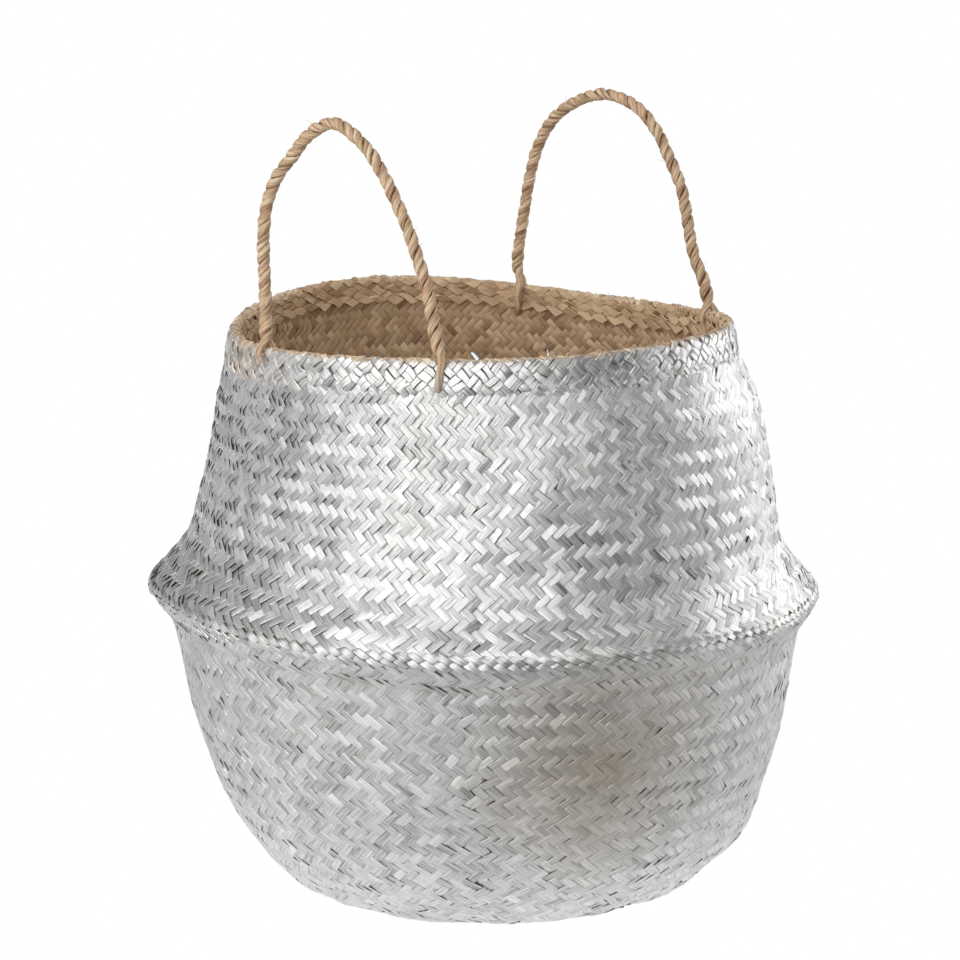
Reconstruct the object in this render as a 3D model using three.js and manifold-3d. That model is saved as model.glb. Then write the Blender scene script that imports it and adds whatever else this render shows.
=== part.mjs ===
// Belly basket of plaited sedge: a flat base, a bowl, a folded ridge, a collar and a doubled border,
// with two rope handles whose plies part above the border and go through the wall below it.
// Millimetres, +Z up. The origin is on the floor under the middle of the base, and the handles stand
// at -X and +X. Front is -Y and back is +Y.
import * as THREE from "three";
import { mergeVertices } from "three/addons/utils/BufferGeometryUtils.js";
import Module from "manifold-3d";

const wasm = await Module();
wasm.setup();

// The plaited sheet: two layers of strands crossing each other
const SHEET_THICKNESS = 3.2;
const SEAM_GAP = 0.3; // between neighbouring regions of the plait, and round whatever touches them

// Base, with the edge that turns up into the bowl. Radii and heights are of the outer face, and a slope
// is the direction of the face in degrees from level, going up.
const BASE_RADIUS = 110;
const HEEL_RADIUS = 141;
const HEEL_HEIGHT = 20;
const HEEL_SLOPE = 42;

// Bowl, up to the crease under the belly fold
const CREASE_RADIUS = 189;
const CREASE_HEIGHT = 160;
const BOWL_TOP_SLOPE = 79;

// Belly fold: the sheet goes out from the crease, round the nose and back in to the neck
const FOLD_SLOPE = 40;
const BELLY_RADIUS = 200.6;
const BELLY_HEIGHT = 181;
const NECK_RADIUS = 174.8;
const NECK_HEIGHT = 221;
const NECK_SLOPE = 100;

// Collar and mouth
const COLLAR_TOP_SLOPE = 107;
const RIM_HEIGHT = 340;
const MOUTH_RADIUS = 151;
const BORDER_DEPTH = 17;
const BORDER_THICKNESS = 6;
const BORDER_LEAN = 3; // how much wider the border is at its foot than at the rim

// The rim and the fold are worked by hand, so they rise and fall a little round the basket
const RIM_WAVES = [
  { count: 2, height: 4.2, peak: 73 },
  { count: 3, height: 1.9, peak: 63 },
];
const FOLD_WAVES = [{ count: 1, height: 1.8, peak: 127 }];

// Rope handles, of two plies
const ROPE_DIAMETER = 7.4;
const PLY_DIAMETER = 3.8;
const KNUCKLE_DIAMETER = 8; // the knob where the two plies part
const PIVOT_RISE = 15; // of the knuckles' middle above the rim's mean height
const PARTING_LENGTH = 6; // over which the plies lie side by side under a knuckle
const HOLE_CLEARANCE = 0.4; // round a ply where it goes through the wall
const BORDER_CLEARANCE = 1; // between a ply and the border that it straddles
const HOLE_DROP = 4.4; // from the border's foot down to the middle of a hole
const SWING = 110; // degrees that a handle swings from upright, each way

// Where a handle's front and back legs stand round the rim, in degrees from +X towards +Y, and the
// height of its arch above its knuckles
const LEFT_FRONT_ANGLE = 207.6;
const LEFT_BACK_ANGLE = 159.5;
const LEFT_RISE = 113;
const RIGHT_FRONT_ANGLE = -31.5;
const RIGHT_BACK_ANGLE = 28.5;
const RIGHT_RISE = 110.5;

// The arch is a list of points along the rope, chosen by eye: the share of half the distance between the
// knuckles and the share of the rise, from the front knuckle to the back knuckle
const HANDLES = [
  {
    name: "left",
    frontAngle: LEFT_FRONT_ANGLE,
    backAngle: LEFT_BACK_ANGLE,
    rise: LEFT_RISE,
    arch: [
      [-1, 0], [-0.93, 0.11], [-0.86, 0.23], [-0.76, 0.36], [-0.65, 0.5], [-0.51, 0.64], [-0.35, 0.78],
      [-0.14, 0.91], [0.18, 1], [0.46, 0.94], [0.67, 0.82], [0.86, 0.7], [0.98, 0.55], [1.02, 0.36], [1.01, 0.18],
      [1, 0],
    ],
  },
  {
    name: "right",
    frontAngle: RIGHT_FRONT_ANGLE,
    backAngle: RIGHT_BACK_ANGLE,
    rise: RIGHT_RISE,
    arch: [
      [-1, 0], [-0.92, 0.1], [-0.85, 0.2], [-0.78, 0.35], [-0.7, 0.51], [-0.58, 0.66], [-0.45, 0.81],
      [-0.24, 0.94], [0.08, 1], [0.38, 0.93], [0.62, 0.82], [0.78, 0.66], [0.87, 0.48], [0.93, 0.28], [0.98, 0.1],
      [1, 0],
    ],
  },
];

// Facets
const ROUND_SEGMENTS = 48;
const ROPE_SIDES = 10;
const ROPE_STEPS = 44;
const PLY_SIDES = 8;
const PLY_STEPS = 11;

const silver = { color: 0xb9bab7, roughness: 0.42, metalness: 0.75 };
const natural = { color: 0xa0835a, roughness: 0.8, metalness: 0 };
const straw = { color: 0xc8ad7f, roughness: 0.75, metalness: 0 };

const radians = THREE.MathUtils.degToRad;
const smooth = THREE.MathUtils.smoothstep;

function makeMesh(name, geometry, finish) {
  const mesh = new THREE.Mesh(geometry, new THREE.MeshStandardMaterial(finish));
  mesh.name = name;
  return mesh;
}

// Closed geometry as a solid that can be cut and joined, and back
function toSolid(geometry) {
  const bare = geometry.clone();
  bare.deleteAttribute("normal");
  bare.deleteAttribute("uv");
  const merged = mergeVertices(bare, 1e-4);
  return new wasm.Manifold(
    new wasm.Mesh({
      numProp: 3,
      vertProperties: new Float32Array(merged.attributes.position.array),
      triVerts: new Uint32Array(merged.index.array),
    }),
  );
}

function toGeometry(solid) {
  const { vertProperties, triVerts } = solid.getMesh();
  const geometry = new THREE.BufferGeometry();
  geometry.setAttribute("position", new THREE.BufferAttribute(vertProperties, 3));
  geometry.setIndex(new THREE.BufferAttribute(triVerts, 1));
  geometry.computeVertexNormals();
  return geometry;
}

// A stretch of the outer face between two girths: a cubic curve that leaves and arrives along the
// slopes given, keeping to each for a share of the straight distance between them.
function stretch(from, leaveSlope, leaveShare, to, arriveSlope, arriveShare) {
  const start = new THREE.Vector2(...from);
  const end = new THREE.Vector2(...to);
  const distance = start.distanceTo(end);
  const along = (slope, share) =>
    new THREE.Vector2(Math.cos(radians(slope)), Math.sin(radians(slope))).multiplyScalar(share * distance);
  return new THREE.CubicBezierCurve(
    start,
    start.clone().add(along(leaveSlope, leaveShare)),
    end.clone().sub(along(arriveSlope, arriveShare)),
    end,
  );
}

const borderFootHeight = RIM_HEIGHT - BORDER_DEPTH;
const collarTopRadius = MOUTH_RADIUS + BORDER_LEAN - (BORDER_THICKNESS - SHEET_THICKNESS) / 2;
const crease = [CREASE_RADIUS, CREASE_HEIGHT];
const nose = [BELLY_RADIUS, BELLY_HEIGHT];
const neck = [NECK_RADIUS, NECK_HEIGHT];
const heel = [HEEL_RADIUS, HEEL_HEIGHT];
const heelCurve = stretch([BASE_RADIUS, 0], 0, 0.38, heel, HEEL_SLOPE, 0.33);
const bowlCurve = stretch(heel, HEEL_SLOPE, 0.26, crease, BOWL_TOP_SLOPE, 0.33);
const foldUnderside = stretch(crease, FOLD_SLOPE, 0.37, nose, 90, 0.33);
const foldTop = stretch(nose, 90, 0.21, neck, NECK_SLOPE, 0.5);
const collarCurve = stretch(
  neck, NECK_SLOPE, 0.33, [collarTopRadius, borderFootHeight], COLLAR_TOP_SLOPE, 0.33,
);

// The sheet along one or more stretches: the outer face going up and the inner face coming back down,
// offset by the thickness. It starts one seam gap along. The end faces follow the slopes given.
function sheetSection(stretches, firstSlope, lastSlope, gap = SEAM_GAP) {
  const outer = [];
  const inner = [];
  stretches.forEach(([curve, steps], index) => {
    const first = index === 0;
    const start = first ? gap / curve.getLength() : 0;
    for (let i = first ? 0 : 1; i <= steps; i++) {
      const u = start + ((1 - start) * i) / steps;
      const point = curve.getPointAt(u);
      const tangent = curve.getTangentAt(u);
      let slope = Math.atan2(tangent.y, tangent.x);
      if (first && i === 0) slope = radians(firstSlope);
      if (index === stretches.length - 1 && i === steps) slope = radians(lastSlope);
      outer.push(point);
      inner.unshift(
        new THREE.Vector2(
          point.x - SHEET_THICKNESS * Math.sin(slope),
          point.y + SHEET_THICKNESS * Math.cos(slope),
        ),
      );
    }
  });
  return { outer, inner };
}

// How far the hand-worked rim and fold lift a point of the true round form
function waveHeight(waves, angle) {
  return waves.reduce((sum, wave) => sum + wave.height * Math.cos(wave.count * (angle - radians(wave.peak))), 0);
}

function lift(height, angle) {
  const towardsRim = smooth(height, NECK_HEIGHT, borderFootHeight);
  const towardsFold = smooth(height, HEEL_HEIGHT, BELLY_HEIGHT) * (1 - smooth(height, BELLY_HEIGHT, borderFootHeight));
  return towardsRim * waveHeight(RIM_WAVES, angle) + towardsFold * waveHeight(FOLD_WAVES, angle);
}

// A section turned about the basket's axis, with each point lifted to its place
function turned(section) {
  const geometry = new THREE.LatheGeometry(section, ROUND_SEGMENTS).rotateX(Math.PI / 2);
  const position = geometry.attributes.position;
  for (let i = 0; i < position.count; i++) {
    const angle = Math.atan2(position.getY(i), position.getX(i));
    position.setZ(i, position.getZ(i) + lift(position.getZ(i), angle));
  }
  return geometry;
}

function closedSection({ outer, inner }) {
  return [...outer, ...inner, outer[0].clone()];
}

// Border: a thicker band, rounded over at the rim, that stands proud of the sheet on both sides
const borderHalf = BORDER_THICKNESS / 2;
const rimMiddle = new THREE.Vector2(MOUTH_RADIUS - borderHalf, RIM_HEIGHT - borderHalf);
const footMiddle = new THREE.Vector2(rimMiddle.x + BORDER_LEAN, borderFootHeight + SEAM_GAP);

function borderSection() {
  const arcSteps = 6;
  const up = rimMiddle.clone().sub(footMiddle).normalize();
  const out = new THREE.Vector2(up.y, -up.x);
  const points = [footMiddle.clone().addScaledVector(out, borderHalf)];
  for (let i = 0; i <= arcSteps; i++) {
    const turn = (Math.PI * i) / arcSteps;
    points.push(
      rimMiddle
        .clone()
        .addScaledVector(out, borderHalf * Math.cos(turn))
        .addScaledVector(up, borderHalf * Math.sin(turn)),
    );
  }
  points.push(footMiddle.clone().addScaledVector(out, -borderHalf));
  points.push(points[0].clone());
  return points;
}

// Legs: a handle has one at the front and one at the back, where its plies straddle the border. It swings
// on the line from its front knuckle to its back knuckle.
const pivotHeight = RIM_HEIGHT + PIVOT_RISE;
const legs = HANDLES.flatMap((handle) => [
  { handle, end: "front", angle: radians(handle.frontAngle) },
  { handle, end: "back", angle: radians(handle.backAngle) },
]);
for (const leg of legs) {
  leg.knuckle = new THREE.Vector3(
    rimMiddle.x * Math.cos(leg.angle), rimMiddle.x * Math.sin(leg.angle), pivotHeight,
  );
}

function knucklesOf(handle) {
  return legs.filter((leg) => leg.handle === handle).map((leg) => leg.knuckle);
}
const holeHeight = borderFootHeight - HOLE_DROP;
const plyRadius = PLY_DIAMETER / 2;
const holeRadius = plyRadius + HOLE_CLEARANCE;

// The wall's outer radius at a height of the collar, found by halving
function collarRadius(height) {
  let low = 0;
  let high = 1;
  for (let i = 0; i < 30; i++) {
    const middle = (low + high) / 2;
    if (collarCurve.getPointAt(middle).y < height) low = middle;
    else high = middle;
  }
  return collarCurve.getPointAt(low).x;
}
const holeWallMiddle = collarRadius(holeHeight) - SHEET_THICKNESS / 2;

function drilled(geometry) {
  let solid = toSolid(geometry);
  for (const leg of legs) {
    const drill = new THREE.CylinderGeometry(holeRadius, holeRadius, 6 * SHEET_THICKNESS, PLY_SIDES * 2)
      .rotateZ(Math.PI / 2)
      .translate(holeWallMiddle, 0, holeHeight + lift(holeHeight, leg.angle))
      .rotateZ(leg.angle);
    solid = solid.subtract(toSolid(drill));
  }
  return toGeometry(solid);
}

function tube(path, radius, sides, steps) {
  const section = new THREE.Shape();
  for (let i = 0; i < sides; i++) {
    const turn = (2 * Math.PI * i) / sides;
    const point = [radius * Math.cos(turn), radius * Math.sin(turn)];
    if (i === 0) section.moveTo(...point);
    else section.lineTo(...point);
  }
  section.closePath();
  return new THREE.ExtrudeGeometry(section, { steps, extrudePath: path });
}

// The room that a handle sweeps round a knuckle: everything above a shallow roof along its swing line
function sweptRoom(leg) {
  const [front, back] = knucklesOf(leg.handle);
  const swingLine = new THREE.Vector2(back.x - front.x, back.y - front.y);
  const over = radians(SWING - 90);
  const drop = (KNUCKLE_DIAMETER / 2 + SEAM_GAP) / Math.cos(over);
  const wide = 3 * KNUCKLE_DIAMETER;
  const eaves = -drop - wide * Math.tan(over);
  const outline = new THREE.Shape([
    new THREE.Vector2(0, -drop),
    new THREE.Vector2(wide, eaves),
    new THREE.Vector2(wide, wide),
    new THREE.Vector2(-wide, wide),
    new THREE.Vector2(-wide, eaves),
  ]);
  return new THREE.ExtrudeGeometry(outline, { depth: 2 * wide, bevelEnabled: false })
    .translate(0, 0, -wide)
    .rotateX(Math.PI / 2)
    .rotateZ(swingLine.angle() - Math.PI / 2)
    .translate(...leg.knuckle);
}

// One ply of a leg: from the middle of the wall out of its hole, up beside the border, and in over the
// rim to the pivot, where it is cut to the swept room. Outward is +1 outside the basket and -1 inside.
function plyOfLeg(leg, outward) {
  const rise = waveHeight(RIM_WAVES, leg.angle);
  const lane = borderHalf + BORDER_CLEARANCE + plyRadius;
  const hole = holeHeight + rise;
  const foot = borderFootHeight + rise;
  const rim = RIM_HEIGHT + rise;
  const middleAtHole = holeWallMiddle;
  const profile = [
    [middleAtHole + (outward * SEAM_GAP) / 2, hole],
    [middleAtHole + outward * (SHEET_THICKNESS / 2 + 0.7 * plyRadius), hole - 0.1 * plyRadius],
    [footMiddle.x + outward * lane, foot - 0.6 * plyRadius],
    [footMiddle.x + outward * lane, foot + 1.5 * plyRadius],
    [rimMiddle.x + outward * lane, rim - borderHalf],
    [rimMiddle.x + outward * 0.85 * lane, rim + 0.6 * plyRadius],
    [rimMiddle.x + outward * (plyRadius + SEAM_GAP / 2), pivotHeight - PARTING_LENGTH],
    [rimMiddle.x + outward * (plyRadius + SEAM_GAP / 2), pivotHeight],
  ];
  const path = new THREE.CatmullRomCurve3(
    profile.map(([radius, height]) => new THREE.Vector3(radius, 0, height)),
    false,
    "centripetal",
  );
  const ply = tube(path, plyRadius, PLY_SIDES, PLY_STEPS).rotateZ(leg.angle);
  return toGeometry(toSolid(ply).subtract(toSolid(sweptRoom(leg))));
}

// The rope of a handle between its pivots, with a rounded knuckle at each end
function ropeOfHandle(handle) {
  const [front, back] = knucklesOf(handle);
  const points = handle.arch.map(([share, rise]) => {
    const point = front.clone().lerp(back, (1 + share) / 2);
    return point.setZ(pivotHeight + rise * handle.rise);
  });
  const path = new THREE.CatmullRomCurve3(points, false, "centripetal");
  let solid = toSolid(tube(path, ROPE_DIAMETER / 2, ROPE_SIDES, ROPE_STEPS));
  for (const end of [points[0], points[points.length - 1]]) {
    const knuckle = new THREE.SphereGeometry(KNUCKLE_DIAMETER / 2, ROPE_SIDES, 8).translate(...end);
    solid = solid.add(toSolid(knuckle));
  }
  return toGeometry(solid);
}

const basket = new THREE.Group();
const creaseMitre = (BOWL_TOP_SLOPE + FOLD_SLOPE) / 2;
const baseSheet = sheetSection([[heelCurve, 5]], 0, HEEL_SLOPE, 0);
const basePoints = [new THREE.Vector2(0, 0), ...baseSheet.outer, ...baseSheet.inner];
basePoints.push(new THREE.Vector2(0, SHEET_THICKNESS));
const lowerSheet = sheetSection([[bowlCurve, 8]], HEEL_SLOPE, creaseMitre);
const foldSheet = sheetSection([[foldUnderside, 4], [foldTop, 7]], creaseMitre, NECK_SLOPE);
const upperSheet = sheetSection([[collarCurve, 6]], NECK_SLOPE, COLLAR_TOP_SLOPE);
basket.add(
  makeMesh("base", turned(basePoints), natural),
  makeMesh("lower_wall", turned(closedSection(lowerSheet)), silver),
  makeMesh("belly_fold", turned(closedSection(foldSheet)), silver),
  makeMesh("upper_wall", drilled(turned(closedSection(upperSheet))), silver),
  makeMesh("rim_border", turned(borderSection()), silver),
);

for (const leg of legs) {
  const name = `${leg.handle.name}_${leg.end}`;
  basket.add(
    makeMesh(`${name}_outer_ply`, plyOfLeg(leg, 1), straw),
    makeMesh(`${name}_inner_ply`, plyOfLeg(leg, -1), straw),
  );
}

const object = new THREE.Group();
object.add(basket);
for (const handle of HANDLES) {
  object.add(makeMesh(`${handle.name}_handle_rope`, ropeOfHandle(handle), straw));
}

export default object;
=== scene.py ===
import bpy
import numpy as np
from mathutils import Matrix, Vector


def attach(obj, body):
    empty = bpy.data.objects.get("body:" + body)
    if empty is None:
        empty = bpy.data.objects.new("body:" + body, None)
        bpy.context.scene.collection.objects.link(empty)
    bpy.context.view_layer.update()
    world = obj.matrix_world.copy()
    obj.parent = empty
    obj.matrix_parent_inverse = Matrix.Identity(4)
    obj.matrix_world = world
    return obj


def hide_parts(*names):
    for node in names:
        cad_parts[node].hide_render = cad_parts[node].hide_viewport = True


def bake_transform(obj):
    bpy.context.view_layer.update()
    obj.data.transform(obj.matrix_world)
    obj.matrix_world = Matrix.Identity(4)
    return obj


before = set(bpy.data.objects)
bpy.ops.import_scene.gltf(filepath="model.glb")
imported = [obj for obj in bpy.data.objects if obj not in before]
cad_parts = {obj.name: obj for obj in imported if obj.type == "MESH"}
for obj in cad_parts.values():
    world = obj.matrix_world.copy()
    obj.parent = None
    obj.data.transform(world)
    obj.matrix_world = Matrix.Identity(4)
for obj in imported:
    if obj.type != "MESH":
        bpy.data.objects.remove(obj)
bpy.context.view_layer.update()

# ---------------------------------------------------------------- camera
# The photograph was taken with a long lens from the front left, a little above the rim.
def placed(name, data, place=(0, 0, 0), aim=None):
    """An object in the scene, at a place and turned to look at a point."""
    made = bpy.data.objects.new(name, data)
    made.location = place
    if aim:
        made.rotation_euler = (Vector(aim) - Vector(place)).to_track_quat("-Z", "Y").to_euler()
    bpy.context.scene.collection.objects.link(made)
    return made


camera = placed("camera", bpy.data.cameras.new("camera"), (-1.8336, -1.3818, 0.7046), (-0.0011, 0.0014, 0.242))
camera.data.lens = 146.25
camera.data.sensor_width = 36.0
camera.data.clip_end = 50.0
bpy.context.scene.camera = camera
bpy.context.scene.view_settings.view_transform = "Standard"

# ---------------------------------------------------------------- handle ropes
# Each handle is a rope of two plies of sedge, twisted round each other with a 16 mm lay. Above the rim
# the plies part, straddle the border and go into the wall just under it, one from either side.
RIM_HEIGHT = 0.340
MOUTH_RADIUS = 0.151
BORDER_HALF = 0.003
BORDER_LEAN = 0.003
BORDER_FOOT = 0.323
SHEET_THICKNESS = 0.0032
PIVOT_HEIGHT = 0.355
HOLE_DROP = 0.0015
HOLE_WALL_MIDDLE = 0.1524
ROPE_LAY = 0.0163
PLY_RADIUS = 0.00195
PLY_ORBIT = 0.00175
PLY_WIDE = 1.34
LEG_RADIUS = 0.00205
LEG_WIDE = 1.10
LANE = BORDER_HALF + 0.0022
# Two heights on each handle's hinge line, passed to its rope pieces as bend points
BEND_HEIGHTS = 0.343, 0.367
# Silver spray has caught the legs outside this girth, and fades between these heights
SPRAY_GIRTH, SPRAY_TOP = (0.1525, 0.1535), (0.325, 0.339)
# Points per metre of a leg's line and of a rope's
LEG_POINTS, ROPE_POINTS = 1600, 1500
# Each leg's height of parting over the rim, how high over the border's foot its outer ply goes into the
# sheet, and how far the outer and the inner ply swing sideways between
LEGS = {"left_front": (0.0018, 0.0025, 0.0018, -0.0030), "left_back": (0.0022, 0.0115, 0.0, 0.0),
        "right_front": (0.0015, 0.0, 0.0, -0.0012), "right_back": (0.0066, 0.0, -0.0030, -0.0020)}
RIM_MIDDLE = MOUTH_RADIUS - BORDER_HALF
RIM_WAVES = ((2, 0.0042, np.radians(73)), (3, 0.0019, np.radians(63)))
FOLD_WAVES = ((1, 0.0024, np.radians(127)), (2, 0.0013, np.radians(165)), (3, 0.0012, np.radians(150)))
# Each arch's places: how far from front to back, from -1 to 1, and what share of the arch's rise
LEFT_ARCH = ((-0.95, 0), (-0.905, 0.11), (-0.85, 0.23), (-0.757, 0.36), (-0.65, 0.5), (-0.51, 0.64),
             (-0.35, 0.78), (-0.14, 0.91), (0.18, 1), (0.46, 0.94), (0.67, 0.82), (0.86, 0.7), (0.98, 0.55),
             (1.02, 0.36), (1.01, 0.18), (1, 0))
RIGHT_ARCH = ((-0.94, 0), (-0.86, 0.1), (-0.812, 0.2), (-0.765, 0.35), (-0.7, 0.51), (-0.58, 0.66),
              (-0.45, 0.80), (-0.24, 0.925), (0.08, 0.98), (0.38, 0.925), (0.62, 0.82), (0.78, 0.66),
              (0.87, 0.48), (0.93, 0.28), (0.98, 0.1), (1, 0))
# The angles of each handle's front and back leg, the rise of its arch, and the arch
HANDLES = {"left": (np.radians(207.6), np.radians(159.5), 0.113, LEFT_ARCH),
           "right": (np.radians(-31.5), np.radians(28.5), 0.1105, RIGHT_ARCH)}


def waves(parts, angle):
    """The sum of cosines that a hand-worked edge rises and falls by, round the basket."""
    return sum(height * np.cos(count * (angle - peak)) for count, height, peak in parts)


def compass(angle):
    """The level directions at an angle: outwards from the basket's axis, and on round it."""
    return np.array([np.cos(angle), np.sin(angle), 0.0]), np.array([-np.sin(angle), np.cos(angle), 0.0])


def unit(vectors):
    return vectors / np.linalg.norm(vectors, axis=-1, keepdims=True)


def run_along(points):
    """The length of a line up to each of its points."""
    return np.concatenate([[0], np.cumsum(np.linalg.norm(np.diff(points[:, :3], axis=0), axis=1))])


def evenly(points, per_metre):
    """The same line with points at even steps of its own length. Columns after the third are carried along."""
    run = run_along(points)
    even = np.linspace(0, run[-1], max(4, int(run[-1] * per_metre)))
    return np.stack([np.interp(even, run, points[:, i]) for i in range(points.shape[1])], 1)


def line_through(points, per_metre):
    """A centripetal Catmull-Rom line through the points, resampled to even steps of arc length."""
    points = np.array(points, float)
    ends = 2 * points[0] - points[1], 2 * points[-1] - points[-2]
    padded = np.vstack([ends[0], points, ends[1]])
    step = np.sqrt(np.linalg.norm(np.diff(padded, axis=0), axis=1))[:, None]
    before, own, after = step[:-2], step[1:-1], step[2:]
    p0, p1, p2, p3 = padded[:-3], padded[1:-2], padded[2:-1], padded[3:]
    leave = ((p1 - p0) / before - (p2 - p0) / (before + own) + (p2 - p1) / own) * own
    arrive = ((p2 - p1) / own - (p3 - p1) / (own + after) + (p3 - p2) / after) * own
    u = np.linspace(0, 1, 24, endpoint=False)[:, None, None]
    dense = (p1 * (2 * u**3 - 3 * u**2 + 1) + leave * (u**3 - 2 * u**2 + u)
             + p2 * (3 * u**2 - 2 * u**3) + arrive * (u**3 - u**2))
    dense = np.vstack([dense.transpose(1, 0, 2).reshape(-1, 3), points[-1:]])
    return evenly(dense, per_metre)


def along(points):
    """Unit directions of a line at its points, and the length run so far."""
    return unit(np.gradient(points, axis=0)), run_along(points)


def smoothed(columns, count):
    """Each row as the mean of its neighbours under a Hann window of the given count."""
    window = np.hanning(count + 2)[1:-1]
    window = window / window.sum()
    padded = np.pad(columns, ((count // 2, count // 2), (0, 0)), mode="edge")
    return np.stack([np.convolve(padded[:, i], window, "valid") for i in range(columns.shape[1])], 1)


def slow_noise(value, length, seed):
    """A smooth random line: noise of unit size over the values, with a typical wave of the given length."""
    draw = np.random.default_rng(seed)
    rates = 2 * np.pi / length * draw.uniform(0.4, 1.6, 9)
    return np.cos(np.asarray(value)[..., None] * rates + draw.uniform(0, 6.28, 9)).sum(-1) / 3


def smooth_step(value, low, high):
    share = np.clip((value - low) / (high - low), 0, 1)
    return share * share * (3 - 2 * share)


def fibrous_tube(middle, radius, seed, side, sides=28, strips=4, twist=0.0, taper=0.0, wide=1.0):
    """A tube round a line whose skin is a ring of strips. Its section is |x|^n + |y / wide|^n = r^n with
    n = 2.2, x along the given side, and r is the radius with a ridge for each strip and slow swelling."""
    way, run = along(middle)
    across = np.broadcast_to(np.asarray(side, float), way.shape)
    across = unit(across - way * (across * way).sum(1)[:, None])
    up = np.cross(way, across)
    turn = np.linspace(0, 2 * np.pi, sides, endpoint=False)
    strip_turn = strips * (turn[None] + twist * run[:, None]) + 1.8 * slow_noise(run, 0.02, seed)[:, None]
    ridge = np.abs(np.cos(strip_turn / 2)) ** 0.5
    wide = np.broadcast_to(wide, run.shape)[:, None]
    radius = np.broadcast_to(radius, run.shape)[:, None]
    section = (np.abs(np.cos(turn)) ** 2.2 + np.abs(np.sin(turn) / wide) ** 2.2) ** (-1 / 2.2)
    lump = 1 + (0.05 * slow_noise(run, 0.012, seed + 1) + 0.03 * slow_noise(run, 0.004, seed + 2))[:, None]
    end = np.clip(np.minimum(run, run[-1] - run)[:, None] / (1.2 * radius), 0, 1)
    size = radius * section * (0.89 + 0.13 * ridge) * lump * np.sqrt(1 - (1 - end) ** 2 * 0.8)
    size = size * (1 - taper * (run / run[-1])[:, None])
    points = (middle[:, None] + size[..., None] * (np.cos(turn)[None, :, None] * across[:, None]
              + np.sin(turn)[None, :, None] * up[:, None]))
    strip = np.round(strip_turn / (2 * np.pi))
    # tint is lower between the strips and, below, on a flattened ply's side that faces its neighbour: painted
    # shade in the grooves. The rest is each strip's own tone, at random.
    tint = 0.5 * ridge + 0.5 * (0.5 + 0.5 * np.sin(strip * 7.3 + seed))
    tint = tint - 1.3 * smooth_step(-np.cos(turn), -0.25, 0.6)[None] * np.clip(4 * (wide - 1.1), 0, 1)
    uv = np.stack([np.broadcast_to(run[:, None], size.shape),
                   (turn[None] + twist * run[:, None]) * radius + seed * 0.01], -1)
    return points, uv, tint


def tube_mesh(points, uv, tint):
    """A tube grid of rows and sides, closed round and capped at its ends, as a part for put_together."""
    rows, sides = points.shape[:2]
    index = np.arange(rows * sides).reshape(rows, sides)
    nxt = np.roll(index, -1, axis=1)
    quads = np.stack([index[:-1], nxt[:-1], nxt[1:], index[1:]], -1).reshape(-1, 4)
    ends = points[[0, -1]].mean(1)
    first, last = rows * sides, rows * sides + 1
    caps = np.concatenate([
        np.stack([nxt[0], index[0], np.full(sides, first)], -1),
        np.stack([index[-1], nxt[-1], np.full(sides, last)], -1)])
    vertices = np.vstack([points.reshape(-1, 3), ends])
    flat_uv = np.vstack([uv.reshape(-1, 2), uv[0, 0], uv[-1, 0]])
    return vertices, quads, caps, flat_uv, {"tint": np.append(tint.reshape(-1), [0.4, 0.4])}


def put_together(name, parts, material, body=None, sharp=None):
    """One object from (vertices, quads, triangles, uv, {attribute: values}) parts: a mesh with its UV map,
    its per-point attributes and one material."""
    starts = np.cumsum([0] + [len(part[0]) for part in parts])
    vertices, uv = (np.vstack([part[i] for part in parts]) for i in (0, 3))
    quads, triangles = (np.vstack([part[i] + start for part, start in zip(parts, starts)]) for i in (1, 2))
    corners = np.concatenate([quads.reshape(-1), triangles.reshape(-1)]).astype(np.int32)
    sizes = np.repeat([4, 3], [len(quads), len(triangles)]).astype(np.int32)
    mesh = bpy.data.meshes.new(name)
    mesh.vertices.add(len(vertices))
    mesh.vertices.foreach_set("co", vertices.astype(np.float32).reshape(-1))
    mesh.loops.add(len(corners))
    mesh.loops.foreach_set("vertex_index", corners)
    mesh.polygons.add(len(sizes))
    mesh.polygons.foreach_set("loop_start", (np.cumsum(sizes) - sizes).astype(np.int32))
    mesh.polygons.foreach_set("loop_total", sizes)
    mesh.update(calc_edges=True)
    mesh.uv_layers.new(name="strand").data.foreach_set("uv", uv[corners].astype(np.float32).reshape(-1))
    for key in parts[0][4]:
        values = np.concatenate([part[4][key] for part in parts])
        mesh.attributes.new(key, "FLOAT", "POINT").data.foreach_set("value", values.astype(np.float32))
    mesh.validate()
    mesh.shade_smooth()
    if sharp:
        mesh.set_sharp_from_angle(angle=np.radians(sharp))
    mesh.materials.append(material)
    piece = placed(name, mesh)
    if body:
        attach(piece, body)
    return piece


class Value:
    """One socket of a node tree. Sums and products on it add Math nodes to the tree."""

    def __init__(self, tree, socket):
        self.tree, self.socket = tree, socket

    def joined(self, operation, *terms):
        node = self.tree.nodes.new("ShaderNodeMath")
        node.operation = operation
        for place, term in enumerate(terms):
            if isinstance(term, Value):
                self.tree.links.new(term.socket, node.inputs[place])
            else:
                node.inputs[place].default_value = term
        return Value(self.tree, node.outputs[0])

    def __add__(self, other):
        return self.joined("ADD", self, other)

    def __sub__(self, other):
        return self.joined("SUBTRACT", self, other)

    def __rsub__(self, other):
        return self.joined("SUBTRACT", other, self)

    def __mul__(self, other):
        return self.joined("MULTIPLY", self, other)

    __radd__, __rmul__ = __add__, __mul__

    def clamped(self):
        return self.joined("MINIMUM", self.joined("MAXIMUM", self, 0.0), 1.0)


def srgb(text):
    """A colour as written on a screen, such as a07c4e, as the linear numbers that sockets take."""
    part = np.array([int(text[i:i + 2], 16) for i in (0, 2, 4)]) / 255
    return (*np.where(part > 0.04045, ((part + 0.055) / 1.055) ** 2.4, part / 12.92), 1.0)


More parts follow.
